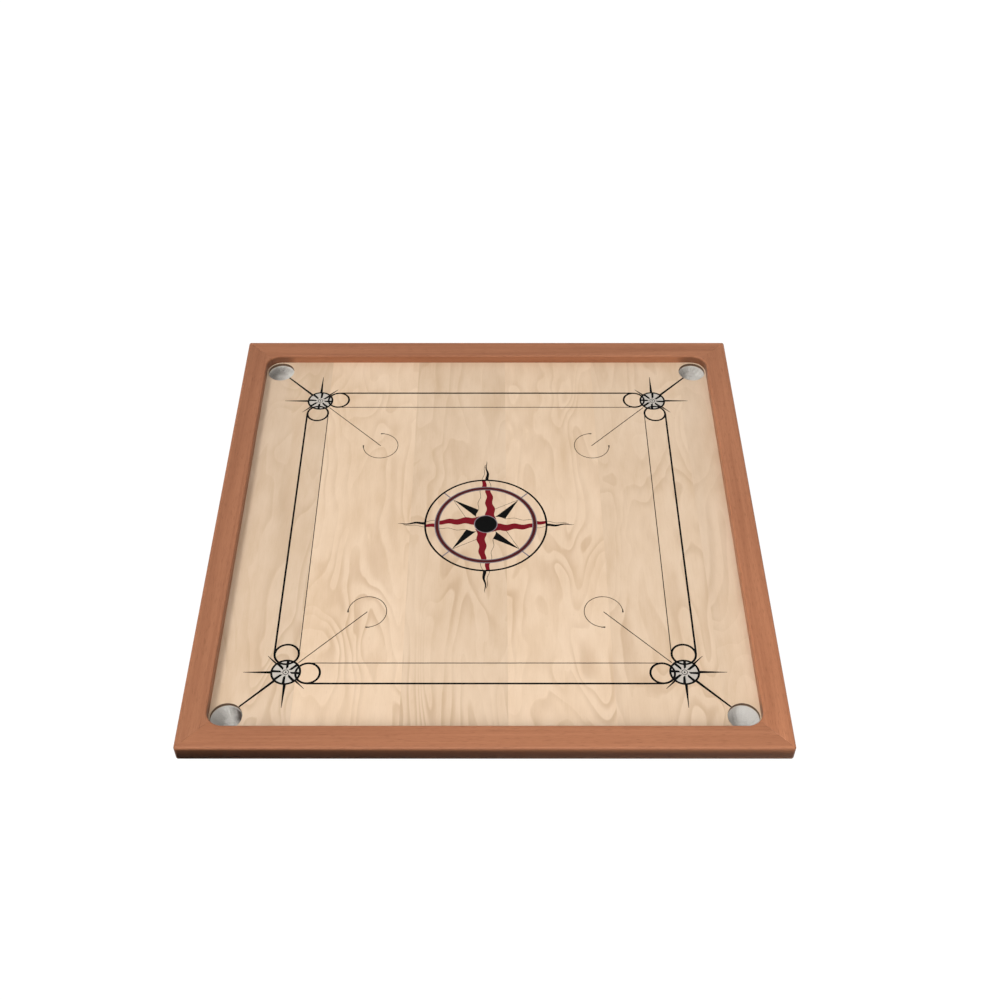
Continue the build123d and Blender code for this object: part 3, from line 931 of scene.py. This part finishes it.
def settled(rows, held_rows):
    """The cloth after it has hung from its rim and its gathered end for a while."""
    scale = 0.01  # the cloth hangs at ten times its size, where the solver works best
    points = [(x * scale, y * scale, z * scale) for ring in rows for x, y, z in ring]
    mesh = new_mesh("hanging cloth", points, tube_faces(len(rows), POUCH_AROUND))
    cloth = linked("hanging cloth", mesh)
    held = [row * POUCH_AROUND + k for row in held_rows for k in range(POUCH_AROUND)]
    pins = cloth.vertex_groups.new(name="held")
    pins.add(held, 1.0, "REPLACE")
    modifier = cloth.modifiers.new("hang", "CLOTH")
    hang = modifier.settings
    hang.quality = 6
    hang.mass = 0.25
    hang.tension_stiffness = hang.compression_stiffness = 12.0
    hang.shear_stiffness = 6.0
    hang.bending_stiffness = 0.35
    hang.air_damping = 2.0
    hang.shrink_min = -0.035
    hang.vertex_group_mass = "held"
    modifier.collision_settings.use_collision = False
    modifier.collision_settings.use_self_collision = False
    modifier.point_cache.frame_start = 1
    modifier.point_cache.frame_end = 30
    for number in range(HANG_FRAMES):
        bpy.context.scene.frame_set(number + 1)
    graph = bpy.context.evaluated_depsgraph_get()
    hung = cloth.evaluated_get(graph)
    moved = [tuple(part / scale for part in vertex.co) for vertex in hung.data.vertices]
    bpy.data.objects.remove(cloth)
    bpy.data.meshes.remove(mesh)
    bpy.context.scene.frame_set(1)
    return [moved[row * POUCH_AROUND : (row + 1) * POUCH_AROUND] for row in range(len(rows))]


def pouch_piece(name, corner, material, settings, seed, toward):
    """One pouch: a round of cloth, stapled by its rim, which hangs from it and is gathered below."""
    rows, held_rows = pouch_start(seed, toward)
    rows = settled(rows, held_rows)
    x, y = CORNERS[corner]
    points = [
        (x * POCKET_AT + px * MM, y * POCKET_AT + py * MM, PANEL_BOTTOM + max(pz, POUCH_FLOOR) * MM)
        for ring in rows
        for px, py, pz in ring
    ]
    mesh = new_mesh(name, points, tube_faces(len(rows), POUCH_AROUND))
    layer = mesh.uv_layers.new(name="cloth")
    for polygon in mesh.polygons:
        at_seam = any(number % POUCH_AROUND == POUCH_AROUND - 1 for number in polygon.vertices)
        for loop in polygon.loop_indices:
            row, column = divmod(mesh.loops[loop].vertex_index, POUCH_AROUND)
            if column == 0 and at_seam:
                column = POUCH_AROUND
            across = settings.around * column / POUCH_AROUND
            layer.data[loop].uv = (across, settings.down * row / POUCH_DOWN)
        polygon.use_smooth = True
    mesh.materials.append(material)
    piece = linked(name, mesh)
    thick = piece.modifiers.new("thickness", "SOLIDIFY")
    thick.thickness = settings.thick
    thick.offset = 0.0
    round_off = piece.modifiers.new("smooth", "SUBSURF")
    round_off.levels = round_off.render_levels = 1
    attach(piece, BODY)
    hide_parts(f"pocket_pouch_{corner}")


class CARROM_OT_pouches(bpy.types.Operator):
    """Adds the four gathered cloth pouches under the pockets"""

    bl_idname = "carrom.pouches"
    bl_label = "Pocket pouches"

    def execute(self, context):
        settings = context.scene.carrom_pouches
        # For each corner: the way its gathered end leans, and how strongly painted shade darkens that side of
        # its cloth.
        sides = {
            "front_left": (0.0, 1.0),
            "front_right": (-115.0, 0.55),
            "back_right": (110.0, 0.25),
            "back_left": (125.0, 0.50),
        }
        for seed, corner in enumerate(CORNERS, start=3):
            lean, shade_painted = sides[corner]
            toward = math.radians(lean)
            material = cotton(f"woven cotton {corner}", settings, toward, shade_painted)
            pouch_piece(f"pouch_{corner}", corner, material, settings, seed, toward)
        return {"FINISHED"}


# ------------------------------------------------------------------ fixings


WIRE_EASE = 0.1 * MM
WIRE_CORNERS = [
    (-1, -1, 0.0, WIRE_EASE),
    (-1, -1, WIRE_EASE, 0.0),
    (1, -1, WIRE_EASE, 0.0),
    (1, -1, 0.0, WIRE_EASE),
    (1, 1, 0.0, WIRE_EASE),
    (1, 1, WIRE_EASE, 0.0),
    (-1, 1, WIRE_EASE, 0.0),
    (-1, 1, 0.0, WIRE_EASE),
]


def staple_mesh(settings):
    """A flat wire bent round two corners, lying under the cloth with its legs up."""
    wire, broad = settings.wire / 2, settings.wire * 0.8
    bend = 0.9 * MM
    half = settings.crown / 2 - wire
    path = [(-half, settings.leg)]
    path += arc((-half + bend, bend - wire), bend, 180, 270, 5)
    path += arc((half - bend, bend - wire), bend, 270, 360, 5)
    path += [(half, settings.leg)]
    section = [(sx * (wire - e), sy * (broad - f)) for sx, sy, e, f in WIRE_CORNERS]
    points = []
    for number, (x, z) in enumerate(path):
        before, after = path[max(number - 1, 0)], path[min(number + 1, len(path) - 1)]
        run = Vector((after[0] - before[0], after[1] - before[1])).normalized()
        taper = 0.45 if number in (0, len(path) - 1) else 1.0
        for out, side in section:
            points.append((x + run.y * out * taper, side * taper, z - run.x * out * taper))
    size = len(path), len(section)
    return points, tube_faces(*size) + end_faces(*size)


class CARROM_OT_staples(bpy.types.Operator):
    """Adds the staples that hold the pouches' rims"""

    bl_idname = "carrom.staples"
    bl_label = "Pouch staples"

    def execute(self, context):
        settings = context.scene.carrom_fixings
        material = zinc_plate("staple zinc", settings, 900.0)
        shape, shape_faces = staple_mesh(settings)
        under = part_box("pouch_staples_back_right")[0].z + settings.wire
        for corner, (x, y) in CORNERS.items():
            draw = random.Random(corner)
            staples = []
            for k in range(8):
                angle = 45.0 * (k + 0.5)
                skew = draw.uniform(-4.0, 4.0)
                placed = []
                for point in shape:
                    px, py, pz = turned(point, skew)
                    wx, wy, _ = turned((px, py + settings.circle, 0.0), angle)
                    placed.append((wx + x * POCKET_AT, wy + y * POCKET_AT, under + pz))
                staples.append((placed, shape_faces))
            nodes = [f"pouch_staples_{corner}"]
            add_piece(f"staples_{corner}", *joined(staples), material, "staple_steel", nodes)
        return {"FINISHED"}


def screw_mesh(settings, full):
    """A countersunk wood screw with a cross recess and a thread, head down at the origin."""
    head, shank, neck = settings.head, settings.shank, 2.6 * MM
    slot_half, slot_wide, deep = 2.0 * MM, 0.5 * MM, 1.4 * MM
    flat_head, thread_from = head * 0.985, neck + 0.8 * MM
    count = 32
    profile = [(flat_head, 0.0), (head, 0.18 * MM), (shank * 1.05, neck), (shank * 0.8, thread_from)]
    points, faces = lathed(profile, count)
    # the underside of the head, round a cross-shaped hole
    arm = ((slot_half, -slot_wide), (slot_half, slot_wide), (slot_wide, slot_wide))
    cross = [turned((x, y, 0.0), 90.0 * turn) for turn in range(4) for x, y in arm]
    flat = [[Vector((x, y, 0.0)) for x, y in circle((0, 0), flat_head, count)]]
    flat.append([Vector(point) for point in cross])
    start = len(points)
    points += [tuple(point) for loop in flat for point in loop]
    faces += [tuple(start + k for k in face) for face in tessellate_polygon(flat)]
    floor = len(points)
    points += [(x * 0.62, y * 0.62, deep) for x, y, _ in cross]
    faces += ring_faces(start + count, floor, len(cross))
    faces.append(tuple(range(floor, floor + len(cross))))
    # the thread, a ridge that winds up the shank to the point
    turns, segments = 9, 20
    steps = turns * segments
    lead = (full - thread_from) / turns
    ridge = ((0.76, 0.0), (1.0, 0.28), (0.76, 0.56), (0.76, 1.0))
    start = len(points)
    for k in range(steps + 1):
        t = k / steps
        angle = math.tau * k / segments
        taper = 1.0 if t < 0.72 else max(0.06, 1.0 - (t - 0.72) / 0.28)
        rise = thread_from + (full - thread_from - lead) * t
        for radius, lift in ridge:
            r = shank * radius * taper
            points.append((r * math.cos(angle), r * math.sin(angle), rise + lead * lift))
    for k in range(steps):
        for a in range(start + k * 4, start + k * 4 + 3):
            faces.append((a, a + 4, a + 5, a + 1))
    return points, faces


class CARROM_OT_screws(bpy.types.Operator):
    """Adds the screws that hold the panel in the rails and the battens on the panel"""

    bl_idname = "carrom.screws"
    bl_label = "Screws"

    def execute(self, context):
        settings = context.scene.carrom_fixings
        material = zinc_plate("screw zinc", settings, 500.0)
        in_rails, in_battens = rail_screw_spots(settings.head), batten_screw_spots()
        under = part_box("batten_screws")[0].z
        jobs = [
            ("screws_in_rails", "rail_screws", in_rails, PANEL_BOTTOM, settings.rail_screw),
            ("screws_in_battens", "batten_screws", in_battens, under, settings.batten_screw),
        ]
        for name, node, spots, under, full in jobs:
            shape, shape_faces = screw_mesh(settings, full)
            draw = random.Random(name)
            screws = []
            for x, y in spots:
                turn = draw.uniform(0.0, 90.0)
                placed = [turned(point, turn) for point in shape]
                screws.append(([(x + px, y + py, under + pz) for px, py, pz in placed], shape_faces))
            add_piece(name, *joined(screws), material, "screw_steel", [node])
        return {"FINISHED"}


# ------------------------------------------------------------------ battens


def batten_mesh(settings, notch_above):
    """A bar along X with two half-lap notches and chamfered lower edges, centred on the origin."""
    end, half, deep = BATTEN_END, BATTEN_HALF, PANEL_BOTTOM
    chamfer, ease = settings.chamfer, 0.35 * MM
    mid = deep / 2

    def section(low, high):
        foot = [(half - ease, low), (half, low + ease)]
        if low == 0.0:
            foot = [(half - chamfer, 0.0), (half, chamfer)]
        right = foot + [(half, high - ease), (half - ease, high)]
        return right + [(-y, z) for y, z in reversed(right)]

    whole = section(0.0, deep)
    notched = section(0.0, mid) if notch_above else section(mid, deep)
    small = []
    for y, z in whole:
        pull = Vector((-y, mid - z)).normalized() * ease * 1.3
        small.append((y + pull.x, z + pull.y))
    rings = [(-end, small), (-end + ease, whole)]
    for lap in (-BATTEN_AT, BATTEN_AT):
        rings += [(lap - half, whole), (lap - half, notched), (lap + half, notched), (lap + half, whole)]
    rings += [(end - ease, whole), (end, small)]
    points = [(x, y, z) for x, ring in rings for y, z in ring]
    size = len(rings), len(whole)
    return points, tube_faces(*size) + end_faces(*size)


def bored(piece, spots, radius, depth):
    """Cuts round bores into the underside of a piece."""
    below = -1 * MM
    bore, bore_faces = lathed([(0.0, below), (radius, below), (radius, depth), (0.0, depth)], 32)
    bores = [([(x + px, y + py, pz) for px, py, pz in bore], bore_faces) for x, y in spots]
    mesh = new_mesh("bores", *joined(bores))
    cutter = linked("bores", mesh)
    cut = piece.modifiers.new("bores", "BOOLEAN")
    cut.operation, cut.solver, cut.object = "DIFFERENCE", "EXACT", cutter
    graph = bpy.context.evaluated_depsgraph_get()
    result = bpy.data.meshes.new_from_object(piece.evaluated_get(graph))
    piece.modifiers.remove(cut)
    old = piece.data
    piece.data = result
    bpy.data.meshes.remove(old)
    bpy.data.objects.remove(cutter)
    bpy.data.meshes.remove(mesh)


class CARROM_OT_battens(bpy.types.Operator):
    """Adds the four half-lapped battens that the board stands on"""

    bl_idname = "carrom.battens"
    bl_label = "Battens"

    def execute(self, context):
        settings = context.scene.carrom_battens
        fixings = context.scene.carrom_fixings
        jobs = {"front": (0, -1), "back": (0, 1), "left": (90, 1), "right": (90, -1)}
        for number, (side, (turn, way)) in enumerate(jobs.items()):
            shape, faces = batten_mesh(settings, turn == 0)
            points = [turned((x, y + way * BATTEN_AT, z), turn) for x, y, z in shape]
            wood = softwood(f"softwood {side}", settings, turn == 0, 7.0 + 5.3 * number)
            nodes = [f"batten_{side}"]
            piece = add_piece(f"{side}_batten", points, faces, wood, "batten_wood", nodes, sharp=25.0)
            own = [(x, y) for x, y in batten_screw_spots() if on_axis(x, y, turn, way)]
            bored(piece, own, fixings.head + 0.08 * MM, 3.6 * MM)
        return {"FINISHED"}


def on_axis(x, y, turn, way):
    """Whether a screw lies on the middle line of this batten."""
    middle = y if turn == 0 else -x
    return abs(middle - way * BATTEN_AT) < 1 * MM


# ------------------------------------------------------------------ printed markings


class CARROM_OT_prints(bpy.types.Operator):
    """Gives the printed markings their inks"""

    bl_idname = "carrom.prints"
    bl_label = "Printed markings"

    def execute(self, context):
        settings = context.scene.carrom_inks
        black = ink("black ink", settings.black, 1.0)
        grey = ink("grey ink", settings.grey, 2.0)
        hub = ink("hub ink", settings.hub, 3.0)
        inks = {
            "print_rose_red_rays": ink("red ink", settings.red, 4.0),
            "print_rose_maroon_ring": ink("maroon ink", settings.maroon, 5.0),
            "print_rose_grey": grey,
        }
        for name in sorted(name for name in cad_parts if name.startswith("print_")):
            painted(name, hub if name.startswith("print_wheel_fill") else inks.get(name, black))
        return {"FINISHED"}


# ------------------------------------------------------------------ stage


def stage_sheet(name, corners, material, seen=True, lights=True):
    """A flat stage piece, which the camera and the light may or may not meet."""
    card = linked(name, new_mesh(name, corners, [tuple(range(len(corners)))]))
    card.data.materials.append(material)
    card.visible_camera = seen
    card.visible_diffuse = card.visible_glossy = card.visible_shadow = lights


def glowing(name, glow, tone):
    """A pale matt surface with a light of its own."""
    white = (1.0, 1.0, 1.0, 1.0)
    return Paint(name).finish((tone, tone, tone), 0.9, emission_strength=glow, emission_color=white)


class CARROM_OT_stage(bpy.types.Operator):
    """Adds the pale floor, the lights and the camera"""

    bl_idname = "carrom.stage"
    bl_label = "Stage"

    def execute(self, context):
        settings = context.scene.carrom_stage
        scene = context.scene
        scene.view_settings.view_transform = "Standard"
        scene.view_settings.look = "None"
        world = bpy.data.worlds.new("even light")
        world.use_nodes = True
        background = world.node_tree.nodes["Background"]
        background.inputs["Color"].default_value = (1.0, 0.995, 0.985, 1.0)
        background.inputs["Strength"].default_value = settings.sky
        scene.world = world

        wide, tall = 9.0, 7.0
        floor = [(-wide, -wide, 0.0), (wide, -wide, 0.0), (wide, wide, 0.0), (-wide, wide, 0.0)]
        stage_sheet("floor", floor, glowing("pale floor", 1.0, 0.02))
        for k in range(4):
            a, b = floor[k], floor[(k + 1) % 4]
            sheet = [a, b, (b[0], b[1], tall), (a[0], a[1], tall)]
            stage_sheet(f"backdrop_{k + 1}", sheet, glowing(f"backdrop {k + 1}", 1.0, 0.0), lights=False)
        dark = Paint("black card").finish((0.0, 0.0, 0.0), 1.0)
        gap = 12 * MM
        ends = [(-HALF - gap, -HALF - 5 * MM), (HALF + gap, -HALF - 12 * MM)]
        low = [(x, y, 0.5 * MM) for x, y in ends]
        high = [(x, y, RAIL_TOP) for x, y in reversed(ends)]
        stage_sheet("front_card", low + high, dark, seen=False)

        lamps = [
            ("key", settings.key, (-3.0, -1.5, 4.0), 1.6),
            ("fill", settings.fill, (0.3, -2.7, 1.75), 2.0),
        ]
        for name, power, place, size in lamps:
            lamp = bpy.data.lights.new(name, "AREA")
            lamp.energy = power
            lamp.shape = "DISK"
            lamp.size = size
            lamp_object = linked(name, lamp)
            lamp_object.location = place
            lamp_object.rotation_euler = (-Vector(place)).to_track_quat("-Z", "Y").to_euler()

        camera = bpy.data.cameras.new("camera")
        camera.lens = 48.384
        camera.sensor_width = 36.0
        camera.shift_x = 0.0077
        camera_object = linked("camera", camera)
        camera_object.location = (0.00982, -1.36303, RAIL_TOP + 1.49624)
        camera_object.rotation_euler = (math.radians(43.0745), 0.0, 0.0)
        scene.camera = camera_object
        return {"FINISHED"}


# ------------------------------------------------------------------ add-on


STEPS = (
    CARROM_OT_rails,
    CARROM_OT_tongues,
    CARROM_OT_panel,
    CARROM_OT_leaves,
    CARROM_OT_staples,
    CARROM_OT_pouches,
    CARROM_OT_screws,
    CARROM_OT_battens,
    CARROM_OT_prints,
    CARROM_OT_stage,
)


class CARROM_PT_board(bpy.types.Panel):
    """Lists the board's pieces and their sizes"""

    bl_idname = "CARROM_PT_board"
    bl_label = "Carrom board"
    bl_space_type = "VIEW_3D"
    bl_region_type = "UI"
    bl_category = "Carrom"

    def draw(self, context):
        for step in STEPS:
            self.layout.operator(step.bl_idname)
        for name, group in SETTINGS.items():
            box = self.layout.box()
            box.label(text=name.capitalize())
            for key in group.__annotations__:
                box.prop(getattr(context.scene, f"carrom_{name}"), key)


CLASSES = (*SETTINGS.values(), *STEPS, CARROM_PT_board)


def register():
    for each in CLASSES:
        bpy.utils.register_class(each)
    for name, group in SETTINGS.items():
        setattr(bpy.types.Scene, f"carrom_{name}", bpy.props.PointerProperty(type=group))


def unregister():
    for name in SETTINGS:
        delattr(bpy.types.Scene, f"carrom_{name}")
    for each in reversed(CLASSES):
        bpy.utils.unregister_class(each)


def main():
    """Builds the board and its stage."""
    register()
    for step in STEPS:
        group, name = step.bl_idname.split(".")
        getattr(getattr(bpy.ops, group), name)()


if __name__ == "__main__":
    main()
